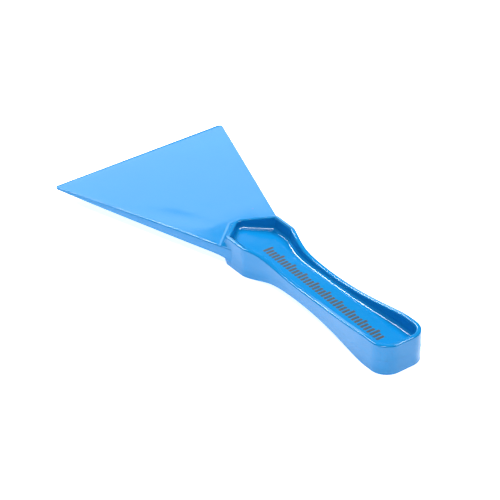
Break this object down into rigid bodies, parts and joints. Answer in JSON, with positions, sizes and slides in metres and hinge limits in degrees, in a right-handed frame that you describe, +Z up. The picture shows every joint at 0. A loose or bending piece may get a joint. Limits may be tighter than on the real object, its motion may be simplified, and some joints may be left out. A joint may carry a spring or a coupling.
{
  "type": "hand scraper",
  "caption": "Moulded plastic hand scraper: thin wedge blade with a straight cutting edge on a waisted handle with open troughs above and below its floor.",
  "frame": {"origin": "under the middle of the bounding box, on the plane of the lower rim", "axes": "+X along the handle, away from the cutting edge; +Y across the blade; +Z up, square to the blade's flat"},
  "size_m": [0.234, 0.111, 0.0174],
  "materials": {
    "blue_plastic": "glossy moulded polypropylene",
    "printed_mark": "dark printed ink"
  },
  "bodies": {
    "root": {"blade": "blue_plastic", "handle_web": "blue_plastic", "upper_wall": "blue_plastic", "lower_wall": "blue_plastic"}
  },
  "joints": []
}
